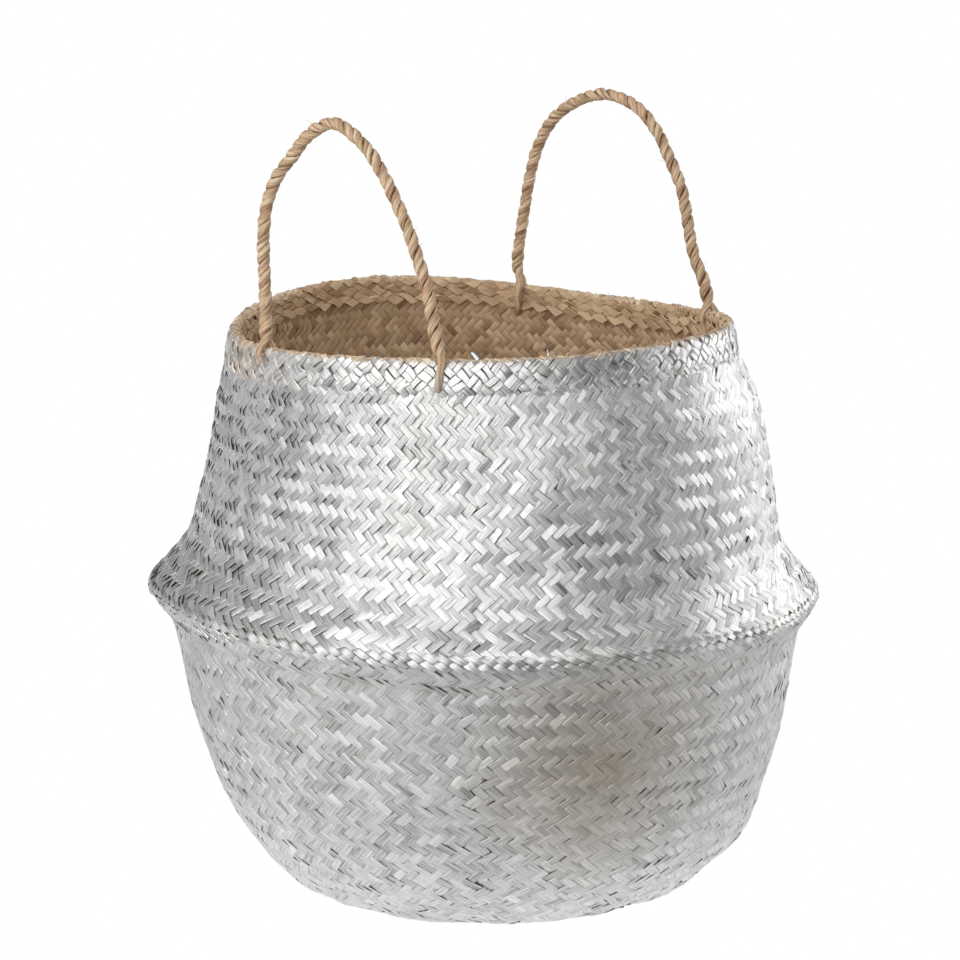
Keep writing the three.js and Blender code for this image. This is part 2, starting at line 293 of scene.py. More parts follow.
class Finish:
    """A material or world under way: node() adds any node, from its settings and then its sockets."""

    def __init__(self, block):
        self.block = block
        block.use_nodes = True
        self.tree = block.node_tree
        self.tree.nodes.clear()

    def node(self, kind, settings=None, sockets=None, output=0):
        node = self.tree.nodes.new("ShaderNode" + kind)
        for key, value in (settings or {}).items():
            setattr(node, key, value)
        for key, value in (sockets or {}).items():
            if isinstance(value, Value):
                self.tree.links.new(value.socket, node.inputs[key])
            else:
                node.inputs[key].default_value = value
        return Value(self.tree, node.outputs[output]) if len(node.outputs) else None

    def mixed(self, factor, first, second):
        return self.node("Mix", {"data_type": "RGBA"}, {0: factor, 6: first, 7: second}, 2)

    def attribute(self, name):
        return self.node("Attribute", {"attribute_name": name}, output=2)

    def noise(self, vector, scale, detail=2.0, rough=0.5):
        return self.node("TexNoise", None, {"Vector": vector, "Scale": scale, "Detail": detail,
                                            "Roughness": rough})

    def place(self):
        """Object coordinates."""
        return self.node("TexCoord", output=3)

    def vectors(self, operation, *vectors, output=1):
        """A number, such as a distance, from vectors. Output 0 gives a vector."""
        return self.node("VectorMath", {"operation": operation}, dict(enumerate(vectors)), output)

    def stretched(self, lengthwise, crosswise):
        """The strand's own UV map in metres, scaled along and across the strand."""
        uv = self.node("UVMap", {"uv_map": "strand"})
        return self.vectors("MULTIPLY", uv, (lengthwise, crosswise, 1.0), output=0)

    def grain(self, lengthwise, crosswise, detail=2.0, rough=0.5):
        """Noise drawn out along the strand, by its scales along and across it."""
        return self.noise(self.stretched(lengthwise, crosswise), 1.0, detail, rough)

    def toned(self, factor, *stops):
        """A colour ramp through stops of a place and a colour."""
        tone = self.node("ValToRGB", None, {0: factor})
        elements = tone.socket.node.color_ramp.elements
        while len(elements) < len(stops):
            elements.new(0.5)
        for element, (place, colour) in zip(elements, stops):
            element.position, element.color = place, srgb(colour)
        return tone

    def bump(self, height, strength, distance):
        return self.node("Bump", None, {"Height": height, "Strength": strength, "Distance": distance})

    def ramped(self, factor, low, high):
        """0 below the low value and 1 above the high one."""
        return self.node("MapRange", {"clamp": True}, {0: factor, 1: low, 2: high, 3: 0.0, 4: 1.0})

    def done(self, **sockets):
        shader = self.node("BsdfPrincipled", None, {k.replace("_", " "): v for k, v in sockets.items()})
        self.node("OutputMaterial", None, {"Surface": shader})
        return self.block


def rope_finish():
    """Dry straw: fine lengthwise fibres, and strips that run from pinkish tan to a greener straw along their
    length. The tint attribute takes it to reddish brown in the grooves between strips and plies, which is
    painted shade."""
    f = Finish(bpy.data.materials.new("straw_rope"))
    fibre = f.grain(70.0, 1900.0, 3.0, 0.6)
    blotch = f.grain(110.0, 300.0)
    age = f.ramped(f.grain(70.0, 420.0), 0.38, 0.62)
    strip = f.attribute("tint")
    shade = (f.ramped(fibre, 0.3, 0.7) * 0.5 + strip * 0.55 + blotch * 0.5 - 0.36).clamped()
    pink = f.toned(shade, (0.0, "64412c"), (0.3, "a98063"), (0.6, "d9b494"), (1.0, "f8e6d2"))
    green = f.toned(shade, (0.0, "5e492f"), (0.3, "a28b69"), (0.6, "d3bd98"), (1.0, "f4e9d0"))
    colour = f.mixed(age, pink, green)
    colour = f.mixed(f.attribute("sprayed") * f.ramped(fibre, 0.1, 0.6) * 0.8, colour, srgb("b4b0aa"))
    return f.done(Base_Color=colour, Roughness=0.72, Normal=f.bump(fibre, 0.5, 0.00025))


straw = rope_finish()
rope_seed = 40


def leg_route(angle, outward, parting, tuck, outer_swing, inner_swing):
    """One ply of a leg, from the middle of the sheet up beside the border and in over the rim to the
    parting. Columns: the points, the outward direction, and the ply's radius and width."""
    rise = waves(RIM_WAVES, angle)
    foot, rim = BORDER_FOOT + rise, RIM_HEIGHT + rise
    hole = foot - HOLE_DROP + (tuck if outward > 0 else 0.0)

    def middle(height):
        return np.interp(height, (foot - HOLE_DROP, foot, rim - BORDER_HALF),
                         (HOLE_WALL_MIDDLE, RIM_MIDDLE + BORDER_LEAN, RIM_MIDDLE))

    swing = outer_swing if outward > 0 else inner_swing
    # From the hole upwards: distance from the axis, height, and how far sideways
    profile = np.array([
        (middle(hole) + outward * 0.0002, hole - 0.0008, 0),
        (middle(hole) + outward * 0.0024, hole - 0.0003, 0),
        (middle(hole + 0.0027) + outward * (LANE - 0.0008), hole + 0.0027, 0.2 * swing),
        (middle(hole + 0.0050) + outward * LANE, min(hole + 0.0065, rim - 0.0050), 0.5 * swing),
        (RIM_MIDDLE + outward * LANE, rim - BORDER_HALF, 0.9 * swing),
        (RIM_MIDDLE + outward * 0.72 * LANE, rim + 0.0003, swing),
        (RIM_MIDDLE + outward * (PLY_ORBIT + 0.0006), rim + parting - 0.0006, 0.3 * swing),
        (RIM_MIDDLE + outward * PLY_ORBIT, rim + parting + 0.0004, 0)])
    across, level = compass(angle)
    line = profile[:, :1] * across + profile[:, 1:2] * (0, 0, 1) + profile[:, 2:] * level
    line = line_through(line, LEG_POINTS)
    return np.hstack([line, np.tile([*(outward * across), LEG_RADIUS, LEG_WIDE], (len(line), 1))])


def eased(columns, places, per_metre, reach=0.005):
    """The same columns with the kinks near the given places smoothed: there each row is the mean of its
    neighbours under a Hann window of the given reach."""
    mean = smoothed(columns, int(reach * per_metre) * 2 + 1)
    run = np.arange(len(columns)) / per_metre
    near = sum(smooth_step(-abs(run - place), -2.0 * reach, -0.8 * reach) for place in places)[:, None]
    return columns + (mean - columns) * np.clip(near, 0, 1)


def arch_line(front, back, rise, arch, low_front, low_back):
    """The middle line of a handle from where its front leg's plies part, over the arch, to the back leg's."""
    points = [front + (back - front) * (1 + share) / 2 + [0, 0, PIVOT_HEIGHT + height * rise]
              for share, height in arch]
    return line_through([front + [0, 0, low_front], *points, back + [0, 0, low_back]], ROPE_POINTS)


def wound_plies(line, turns, start_turn, side):
    """Two lines that wind round another, half a turn apart: line + orbit * out, out = cos t * side + sin t *
    up. The lay shortens from front to back. Columns: the points, out, and the ply's radius and width."""
    way, run = along(line)
    up = np.cross(way, side)
    share = run / run[-1]
    turn = start_turn + 2 * np.pi * turns * (share + 0.15 * (share**2 - share))
    turn = turn + 0.35 * slow_noise(run, 0.05, 7) * np.sin(np.pi * share)
    slack = 2 - smooth_step(run, 0.006, 0.040) - smooth_step(run[-1] - run, 0.004, 0.020)
    orbit = PLY_ORBIT * (1 + 0.08 * slow_noise(run, 0.02, 8) + 0.24 * slack * np.clip(run / 0.006, 0, 1)
                         * np.clip((run[-1] - run) / 0.006, 0, 1))[:, None]
    laid = (smooth_step(run, 0, 0.009) * smooth_step(run[-1] - run, 0, 0.009))[:, None]
    form = np.hstack([LEG_RADIUS + (PLY_RADIUS - LEG_RADIUS) * laid, LEG_WIDE + (PLY_WIDE - LEG_WIDE) * laid])
    found = []
    for half in (0.0, np.pi):
        out = np.cos(turn + half)[:, None] * side + np.sin(turn + half)[:, None] * up
        found.append(np.hstack([line + orbit * out, out, form]))
    return found


def whisker(start, way, length, radius, seed, curl=0.35):
    """A loose fibre: a thin tapering tube whose line bends by a random curl."""
    draw = np.random.default_rng(seed)
    bend = unit(draw.normal(0, 1, 3))
    way = unit(np.array(way, float))
    share = np.linspace(0, 1, 12)[:, None]
    middle = np.array(start) + length * (share * way + curl * share**2 * bend)
    return tube_mesh(*fibrous_tube(middle, radius, seed, side=(0.3, 0.9, 0.2), sides=6, strips=2, taper=0.7))


def with_spray(part):
    """A leg's part with its points outside and under the rim marked, where silver spray has caught them."""
    points, *rest, values = part
    low = 1 - smooth_step(points[:, 2], *SPRAY_TOP)
    outside = smooth_step(np.hypot(points[:, 0], points[:, 1]), *SPRAY_GIRTH)
    return points, *rest, {**values, "sprayed": low * outside}


def rope_piece(name, parts, body, bends, *nodes):
    """Plies as one piece, with their placement baked into their points and the model's parts that they stand
    for hidden. The body and bends are not used.
    """
    piece = put_together(name, parts, straw, sharp=60)
    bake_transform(piece)
    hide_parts(*nodes)
    return piece


for name, (front, back, rise, arch) in HANDLES.items():
    front_foot, back_foot = (RIM_MIDDLE * compass(angle)[0] for angle in (front, back))
    backward = unit(back_foot - front_foot)
    normal = np.array([backward[1], -backward[0], 0])
    low_front, low_back = (RIM_HEIGHT + waves(RIM_WAVES, angle) + LEGS[f"{name}_{end}"][0]
                           for angle, end in ((front, "front"), (back, "back")))
    middle = arch_line(front_foot, back_foot, rise, arch, low_front, low_back)
    length = run_along(middle)[-1]
    start_turn = front - np.arctan2(normal[1], normal[0])
    turns = round(length / ROPE_LAY)
    plies = wound_plies(middle, turns, start_turn, normal)
    rope_parts, leg_parts = [], {"front": [], "back": []}
    for number, ply in enumerate(plies):
        outward = 1 - 2 * number
        down_front = leg_route(front, outward, *LEGS[f"{name}_front"])
        down_back = leg_route(back, outward, *LEGS[f"{name}_back"])
        whole = evenly(np.vstack([down_front[:-3], ply[2:-2], down_back[:-3][::-1]]), ROPE_POINTS)
        run = run_along(whole)
        crotch = len(down_front) / LEG_POINTS, run[-1] - len(down_back) / LEG_POINTS
        whole = eased(whole, crotch, ROPE_POINTS)
        rope_seed += 3
        tube = fibrous_tube(whole[:, :3], whole[:, 6], rope_seed, side=whole[:, 3:6], twist=26.0,
                            wide=whole[:, 7])
        first, last = np.searchsorted(run_along(whole), (crotch[0] - 0.001, crotch[1] + 0.001))
        rope_parts.append(tube_mesh(*(grid[first:last] for grid in tube)))
        # Where a leg's piece runs on into the rope's, it is a little thinner, so that no two skins coincide
        line, inner = whole[:, None, :3], tube[0].copy()
        inner[first:last] = (line + 0.95 * (inner - line))[first:last]
        for end, part in (("front", slice(first + 4)), ("back", slice(last - 4, None))):
            leg_parts[end].append(with_spray(tube_mesh(*(grid[part] for grid in (inner, *tube[1:])))))
    body = f"{name}_handle"
    hinge = (front_foot + back_foot) / 2
    bends = [(*hinge[:2], height) for height in BEND_HEIGHTS]
    rope = rope_piece(f"{name}_twisted_rope", rope_parts, body, bends, f"{name}_handle_rope")
    legs = [rope_piece(f"{name}_{end}_parted_plies", parts, body, bends, f"{name}_{end}_outer_ply",
                       f"{name}_{end}_inner_ply") for end, parts in leg_parts.items()]
    draw = np.random.default_rng(len(name))
    picks = draw.integers(20, len(middle) - 20, 22)
    hairs = [whisker(middle[i] + 0.003 * Vector(draw.normal(0, 1, 3)).normalized(), draw.normal(0, 1, 3),
                     draw.uniform(0.003, 0.006), draw.uniform(0.00012, 0.00022), 200 + int(i)) for i in picks]
    loose = put_together(f"{name}_rope_fibres", hairs, straw, body)

# ---------------------------------------------------------------- bowl, belly fold and collar
# One sheet of flat sedge strands about 5 mm wide, plaited over two and under two, so that rows of strands
# leaning one way alternate with rows leaning the other. The outside was painted silver after plaiting.
STRAND_WIDTH = 0.0050
# How far the sheet goes on up into the border
INTO_BORDER = 0.008
BASE_RADIUS, HEEL, CREASE = 0.110, (0.141, 0.020), (0.189, 0.160)
NOSE, NECK = (0.2002, 0.1787), (0.1748, 0.221)
COLLAR_TOP = (MOUTH_RADIUS + BORDER_LEAN - 0.0014, BORDER_FOOT)


def stretch(start, leave_slope, leave_share, end, arrive_slope, arrive_share):
    """A cubic curve between two girths that leaves and arrives along the given slopes."""
    start, end = np.array(start), np.array(end)
    distance = np.linalg.norm(end - start)
    leave, arrive = np.radians(leave_slope), np.radians(arrive_slope)
    second = start + leave_share * distance * np.array([np.cos(leave), np.sin(leave)])
    third = end - arrive_share * distance * np.array([np.cos(arrive), np.sin(arrive)])
    u = np.linspace(0, 1, 160)[:, None]
    return (1 - u)**3 * start + 3 * (1 - u)**2 * u * second + 3 * (1 - u) * u * u * third + u**3 * end


def lift(height, angle):
    """How far the hand-worked rim and fold lift a point of the true round form."""
    to_rim = smooth_step(height, NECK[1], BORDER_FOOT)
    to_fold = smooth_step(height, HEEL[1], NOSE[1]) * (1 - smooth_step(height, NOSE[1], BORDER_FOOT))
    return to_rim * waves(RIM_WAVES, angle) + to_fold * waves(FOLD_WAVES, angle)


SHIFT_HEIGHTS = (0.0, 0.012, 0.030, 0.048, 0.065, 0.10, 0.15, 0.181, 0.21, 0.25, 0.29, 0.318)
SHIFTS = (0.0045, 0.0066, 0.0072, 0.0060, 0.0046, 0.0045, 0.0020, 0.0, 0.0012, 0.0028, 0.0020, 0.0)


def girth_shift(height):
    """How far the hand-made basket's girths stand out of line, towards +X -Y, bowl and collar each."""
    shift = np.interp(height, SHIFT_HEIGHTS, SHIFTS)[..., None]
    return shift * np.array([0.6, -0.8, 0.0])


def dents(height, angle):
    """Slow unevenness of the hand-worked wall, in metres out or in, that ends at its foot and its border."""
    free = smooth_step(height, 0.0, 0.02) * (1 - smooth_step(height, 0.290, 0.318))
    wall = 0.00045 * free * (np.cos(3 * angle + 40 * height + 1) + np.cos(5 * angle - 55 * height)
                             + np.cos(8 * angle + 31 * height + 2) + 0.8 * np.cos(13 * angle - 90 * height + 4))
    at_heel = smooth_step(height, 0.0, 0.003) * (1 - smooth_step(height, 0.008, 0.030))
    heel = 0.0008 * at_heel * (np.cos(9 * angle + 0.8) + np.cos(14 * angle + 2.1) + 0.6 * np.cos(23 * angle)
                               - 0.4)
    return np.minimum(wall + heel, 0.7 * height)


def right_side(height, angle):
    """The collar bulges at the far right, and the mouth over it is pinched in, in metres of radius."""
    turned = 1 - np.cos(angle + np.radians(53))
    return (0.0030 * np.exp(-4 * turned) * smooth_step(height, 0.245, 0.285)
            * (1 - smooth_step(height, 0.292, 0.322))
            - 0.0022 * np.exp(-22 * turned) * smooth_step(height, 0.300, 0.330))


class Skin:
    """A profile turned round the axis. at() gives the point at a run along the profile, an angle and a
    height over the face, and girth() the radius there."""

    def __init__(self, points, uneven=True):
        keep = np.concatenate([[True], np.linalg.norm(np.diff(points, axis=0), axis=1) > 1e-7])
        line = evenly(points[keep], 4000)
        way, self.run = along(line)
        way = unit(smoothed(way, 7))
        self.line, self.out, self.uneven = line, np.stack([way[:, 1], -way[:, 0]], 1), uneven

    def girth(self, run):
        return np.interp(run, self.run, self.line[:, 0])

    def at(self, run, angle, over):
        radius, own_height = (np.interp(run, self.run, self.line[:, i]) for i in (0, 1))
        out_r, out_z = (np.interp(run, self.run, self.out[:, i]) for i in (0, 1))
        if self.uneven:
            over = over + dents(own_height, angle)
        radius = radius + right_side(own_height, angle) + over * out_r
        height = own_height + lift(own_height, angle) + over * out_z
        return (np.stack([radius * np.cos(angle), radius * np.sin(angle), height], -1)
                + girth_shift(own_height) * self.uneven)


stretches = (stretch((BASE_RADIUS, 0.0004), 0, 0.38, HEEL, 42, 0.33), stretch(HEEL, 42, 0.26, CREASE, 79, 0.33),
             stretch(CREASE, 40, 0.37, NOSE, 74, 0.33), stretch(NOSE, 106, 0.24, NECK, 100, 0.5),
             stretch(NECK, 100, 0.33, COLLAR_TOP, 107, 0.33))
into_border = np.array(COLLAR_TOP) + INTO_BORDER * np.array([np.cos(np.radians(107)), np.sin(np.radians(107))])
wall = Skin(np.vstack([*stretches, [into_border]]))
ends = np.cumsum([run_along(s)[-1] for s in stretches])
heel_run, crease_run, nose_run, neck_run, top_run = ends


def columns_at(run):
    """How many columns of strands the basket has: new ones are let in up the bowl, and in the collar, where
    the strands taper towards their ends."""
    return np.interp(run, (0.0, heel_run, crease_run, nose_run, neck_run, top_run),
                     (112, 126, 152, 156, 165, 187))


def half_row_at(run):
    """Half the height of a row: the plait is beaten closer in the collar, where the strands are thinner."""
    return np.interp(run, (0.0, crease_run, neck_run, top_run), (0.0032, 0.0034, 0.0032, 0.0029))


def column_line(skin, run, faults):
    """The count of columns up to each angle, on one girth. The count changes at faults, where one column
    starts or ends, and each is a whirl in the phase: the argument of sin((x + iy)/2) about the fault. The
    line is given over three turns, so that what crosses angle 0 finds its neighbours."""
    angle = np.linspace(0, 2 * np.pi, 3601)
    total = faults["count"] * angle / (2 * np.pi)
    girth = skin.girth(run)
    for place, at_run, sense in faults["list"]:
        up = (run - at_run) / girth
        up = np.sign(up if up else 1e-6) * max(abs(up), 0.012)
        x = np.mod(angle - place, 2 * np.pi)
        whirl = np.arctan2(np.cos(x / 2) * np.sinh(up / 2), np.sin(x / 2) * np.cosh(up / 2)) / (2 * np.pi)
        total = total + sense * (-whirl + (angle >= place) * 0.5 * np.sign(up))
    total = np.maximum.accumulate(total) + np.arange(len(total)) * 1e-9
    count = int(round(total[-1] - total[0]))
    total = total[0] + (total - total[0]) * count / (total[-1] - total[0])
    return (np.concatenate([angle - 2 * np.pi, angle[1:], angle[1:] + 2 * np.pi]),
            np.concatenate([total - count, total[1:], total[1:] + count]), total[0], count)


MAKERS_LINE = np.radians(213.6)


def plan_faults(low, high, seed):
    """Where columns start and end between two runs, so that the count keeps to columns_at. Some of them
    lie close to the line up the front where the maker began and ended."""
    draw = np.random.default_rng(seed)
    runs = np.linspace(low, high, 4000)
    count = columns_at(runs)
    steps = np.diff(np.floor(count + 0.5))
    found = []
    for i in np.nonzero(steps)[0]:
        near = draw.uniform() < 0.12
        place = MAKERS_LINE + np.radians(draw.normal(0, 3)) if near else draw.uniform(0, 2 * np.pi)
        found.append((place, runs[i], float(np.sign(steps[i]))))
    start = np.floor(count[0] + 0.5)
    return {"count": start + 0.5 * sum(s for _, _, s in found), "list": found}


def sway(order, angle):
    """How far a row wanders up and down the wall, in metres, as the maker's hands vary."""
    return 0.0008 * np.cos(3 * angle + 0.13 * order) + 0.0006 * np.cos(7 * angle - 0.11 * order)


PLAN_KEYS = ("run", "turn", "lean", "pitch", "up", "down", "drift_up", "drift_down", "strand")


def plan_rows(skin, rows, faults, seed, apart=1):
    """Every strand crossing of the rows given as (run, lean, half height): its place, size and colour, and
    how far and how much sideways the rows above and below lie that its ends reach to, so that floats meet."""
    draw = np.random.default_rng(seed)
    plan = {key: [] for key in PLAN_KEYS}
    lines = [column_line(skin, run, faults) for run, _, _ in rows]
    for order, (run, lean, half) in enumerate(rows):
        angle, total, first, count = lines[order]
        column = np.ceil(first) + np.arange(count) + (0.25 if lean > 0 else 0.75)
        place = np.interp(column, total, angle)
        pitch = np.interp(column + 0.5, total, angle) - np.interp(column - 0.5, total, angle)
        for key, other in (("up", order + apart), ("down", order - apart)):
            step, drift = np.full(count, 2 * half), np.zeros(count)
            if 0 <= other < len(rows) and abs(rows[other][0] - run) < 3 * half:
                its_angle, its_total = lines[other][:2]
                same = column + np.round(np.interp(place, its_angle, its_total) - column)
                drift = np.clip(np.interp(same, its_total, its_angle) - place, -0.5 * pitch, 0.5 * pitch)
                step = abs(rows[other][0] + sway(other, place) - run - sway(order, place))
            plan[key].append(step)
            plan[f"drift_{key}"].append(drift)
        plan["run"].append(run + sway(order, place) + draw.normal(0, 0.00010, count))
        plan["turn"].append(place)
        plan["lean"].append(np.full(count, lean))
        plan["pitch"].append(pitch)
        plan["strand"].append(column - lean * 2 * (order // 2) + 1000 * (lean > 0))
    return {key: np.concatenate(value) for key, value in plan.items()}


def both_ends(*half):
    """The stations of a float that is alike at both ends, from its middle's and one half's."""
    return [(-place, swell) for place, swell in half[:0:-1]] + list(half)


TWILL = both_ends((0.0, 1.0), (0.99, 0.75), (1.07, -0.5), (1.3, -1.0))
TWILL_INSIDE = both_ends((0.0, 1.0), (0.95, 0.5), (1.25, -1.0))
# No strand lies deeper in the sheet than this
DEEPEST = -0.00125
# How far a float's edge or end stands out or in by chance, as one standard deviation
CHANCE = 0.00012


def strips_over(plan, at, seed, face=1.0, level=-0.0005, height=0.0005, stations=TWILL, width=1.05,
                edge_drop=0.00016, cross=(-0.5, -0.43, 0.43, 0.5), loose=0.0, belly=0.0, bare=None, uneven=1.0,
                vary=1.0, ridge=0.0):
    """The visible floats of the plait. A float lies along s, in strand widths, and its stations give its
    height there, from -1 to 1, so that it dips under its neighbours at both ends. Across, its edges drop.
    By the ridge height its one end stands out and its other end lies in, so the rows stand up in ridges.
    A belly rounds its back, and a loose height lets one float in ten stand off. Each is a closed strip: the
    top, the flat underside between its edges, and two ends."""
    draw = np.random.default_rng(seed)
    count = len(plan["run"])
    column = count, 1, 1
    s, swell = np.array(stations).T[:, :, None]
    t = np.array(cross)
    outer_edge = np.arange(len(t)) % (len(t) - 1) == 0
    wide = width * draw.uniform(0.94, 1.03, column)
    tilt = draw.normal(0, 0.03, column)
    shift = draw.normal(0, 0.02, column)
    rise = height * draw.uniform(0.8, 1.15, column)
    rise = rise + loose * draw.exponential(1, column) * (draw.uniform(0, 1, column) > 0.9)
    roll = draw.normal(0, CHANCE * uneven, column)
    pitch = ridge + draw.normal(0, CHANCE * uneven, column)
    along_s = np.broadcast_to(s, (count, len(s), len(t)))
    across_t = t * wide + shift + tilt * along_s
    own = {key: value[:, None, None] for key, value in plan.items()}
    columns_on, rows_on = 0.5 * (along_s - own["lean"] * across_t), 0.5 * (own["lean"] * along_s + across_t)
    above, below = np.maximum(rows_on, 0), np.maximum(-rows_on, 0)
    over = (level + rise * swell - np.where(outer_edge, edge_drop, 0.0) + roll * np.sign(t)
            + belly * (1 - (2 * across_t) ** 2) + pitch * np.clip(along_s, -1, 1))
    over = np.maximum(over, DEEPEST)
    run = own["run"] + above * own["up"] - below * own["down"]
    turn = own["turn"] + columns_on * own["pitch"] + above * own["drift_up"] + below * own["drift_down"]
    points = at(run, turn, over if face > 0 else -SHEET_THICKNESS - over)
    strand_draw = np.random.default_rng(seed + 1).uniform(0, 1, 4000)
    tint = 0.55 * strand_draw[(own["strand"] * 7 % 4000).astype(int)] + 0.45 * draw.uniform(0, 1, column)
    jump = draw.uniform(0, 40, column)
    uv = np.stack([along_s * STRAND_WIDTH + jump, across_t * STRAND_WIDTH + 0.37 * jump], -1)
    rows, columns = len(s), len(t)
    index = np.arange(rows * columns).reshape(rows, columns)
    top = np.stack([index[:-1, :-1], index[1:, :-1], index[1:, 1:], index[:-1, 1:]], -1).reshape(-1, 4)
    under = np.stack([index[:-1, -1], index[1:, -1], index[1:, 0], index[:-1, 0]], -1)
    faces = np.vstack([top, under, index[0][None], index[-1][::-1][None]])
    quads = faces[None] + (np.arange(count) * rows * columns)[:, None, None]
    # On the inner face a float is a mirror image, so its faces turn round
    quads = (quads if face > 0 else quads[:, :, ::-1]).reshape(-1, 4)
    # The edge and tucked attributes let the finishes shade the floats' edges and the parts that dip under their
    # neighbours: that is painted shade, while on the silver the edge also thins the paint.
    extra = {"tint": 0.5 + vary * (tint - 0.5), "edge": outer_edge.astype(float),
             "tucked": np.clip((-swell - 0.5) / 0.5, 0, 1), "unpainted": bare(run, turn) if bare else 0.0}
    extra = {key: np.broadcast_to(value, over.shape).reshape(-1) for key, value in extra.items()}
    return points.reshape(-1, 3), quads, np.zeros((0, 3), int), uv.reshape(-1, 2), extra


def only(plan, mask):
    return {key: value[mask] for key, value in plan.items()}


def part_of(plan, low, high):
    return only(plan, (plan["run"] >= low) & (plan["run"] < high))


WORN_SPOT = (-0.092, -0.152, 0.112)


def sedge_tone(f, tint, grain):
    """The colour of bare sedge, from strand to strand and along the grain."""
    blotch = f.noise(f.place(), 14.0)
    shade = (tint * 0.85 + f.ramped(grain, 0.3, 0.7) * 0.42 + blotch * 0.4 - 0.40).clamped()
    return f.toned(shade, (0.0, "94765a"), (0.4, "d0b28f"), (0.75, "eed5b0"), (1.0, "fff6df"))


def silver_finish():
    """Silver paint on sedge: bright where it lies on the strands' backs, with fine lengthwise streaks,
    thinner on their edges and worn to a warmer tone in patches."""
    f = Finish(bpy.data.materials.new("silver_painted_sedge"))
    place = f.place()
    streak = f.ramped(f.grain(45.0, 1000.0, 4.0, 0.65), 0.32, 0.68)
    fine = f.grain(120.0, 3600.0)
    tint, edge, tucked, unpainted = (f.attribute(key) for key in ("tint", "edge", "tucked", "unpainted"))
    patch = f.ramped(f.noise(place, 9.0, 3.0, 0.6), 0.50, 0.72)
    worn_spot = f.vectors("DISTANCE", place, WORN_SPOT)
    worn_spot = 1.0 - f.ramped(worn_spot + f.noise(place, 30.0, 3.0, 0.6) * 0.05, 0.030, 0.110)
    thin = f.ramped(f.noise(place, 60.0, 4.0, 0.7) + edge * 0.10 + streak * 0.25, 0.88, 0.99)
    thin = (thin + tucked + unpainted).clamped()
    shade = (tint * 0.4 + streak * 0.6).clamped()
    paint = f.toned(shade, (0.0, "777777"), (0.45, "d5d5d4"), (1.0, "ffffff"))
    paint = f.mixed(patch * 0.12, paint, srgb("cfc8bd"))
    paint = f.mixed(worn_spot * 0.7, paint, srgb("b0a491"))
    # Where floats dip under their neighbours the paint did not reach, and there the bare colour goes on to a
    # deep brown 55493a, which is painted shade in the crevices.
    bare = f.mixed(tucked, sedge_tone(f, tint, streak), srgb("55493a"))
    colour = f.mixed((thin * 0.85 + edge * 0.12).clamped(), paint, bare)
    metal = 0.92 - thin * 0.8
    rough = 0.24 + streak * 0.08 + tint * 0.14 + thin * 0.25
    bump = f.bump(streak * 0.5 + fine * 0.6, 1.0, 0.00028)
    return f.done(Base_Color=colour, Metallic=metal, Roughness=rough, Normal=bump)


def sedge_finish():
    """Bare dry sedge: tan strands of slightly different age, with lengthwise grain and brown flecks."""
    f = Finish(bpy.data.materials.new("bare_sedge"))
    grain = f.grain(60.0, 1700.0, 3.0, 0.6)
    fleck = f.ramped(f.grain(250.0, 900.0), 0.62, 0.75)
    edge = f.attribute("edge")
    # Brown flecks are the sedge's own; the darkening at the floats' edges and where they dip under their
    # neighbours is painted shade.
    flecks_and_shade = (fleck * 0.3 + edge * 0.12 + f.attribute("tucked") * 0.6).clamped()
    colour = f.mixed(flecks_and_shade, sedge_tone(f, f.attribute("tint"), grain), srgb("5d452d"))
    place = f.place()
    height = f.node("SeparateXYZ", None, {0: place}, 2)
    specks = f.ramped(f.noise(place, 520.0, 1.0), 0.76, 0.80) * f.ramped(height, 0.285, 0.300)
    colour = f.mixed((specks * (1.0 - f.ramped(height, 0.322, 0.330))).clamped(), colour, srgb("e9e9ea"))
    return f.done(Base_Color=colour, Roughness=0.58 + grain * 0.15, Normal=f.bump(grain, 0.5, 0.0002))


def gap_shade_finish():
    """The strands under the floats, coloured a deep brown as painted shade, so that the slits between the
    floats look shaded.
    """
    f = Finish(bpy.data.materials.new("painted_shade_between_strands"))
    grain = f.noise(f.place(), 400.0)
    return f.done(Base_Color=f.mixed(grain, srgb("5a4c3c"), srgb("7d6c56")), Roughness=0.85)


silver, sedge, between = silver_finish(), sedge_finish(), gap_shade_finish()


def silver_piece(name, parts, sharp=28):
    return put_together(name, parts, silver, "basket", sharp)


def sedge_piece(name, parts, sharp=50):
    return put_together(name, parts, sedge, "basket", sharp)


BACKING_FACES = -0.00135, -0.00185


def backing_piece(name, skin, low, high, rows=40, sides=96):
    """A thin closed shell in the middle of the sheet, between two girths, that closes the gaps. Its finish is
    painted shade for the slits between the floats.
    """
    run = np.linspace(low, high, rows)
    run = np.concatenate([run, run[::-1]])
    over = np.repeat(BACKING_FACES, rows)
    turn = np.linspace(0, 2 * np.pi, sides, endpoint=False)
    points = skin.at(run[:, None] + 0 * turn, turn + 0 * run[:, None], over[:, None] + 0 * turn)
    index = np.arange(len(run) * sides).reshape(len(run), sides)
    below, nxt = np.roll(index, -1, axis=0), np.roll(index, -1, axis=1)
    quads = np.stack([index, nxt, np.roll(nxt, -1, axis=0), below], -1).reshape(-1, 4)
    shell = (points.reshape(-1, 3), quads, np.zeros((0, 3), int), np.zeros((index.size, 2)),
             {"tint": np.zeros(index.size)})
    put_together(name, [shell], between, "basket")


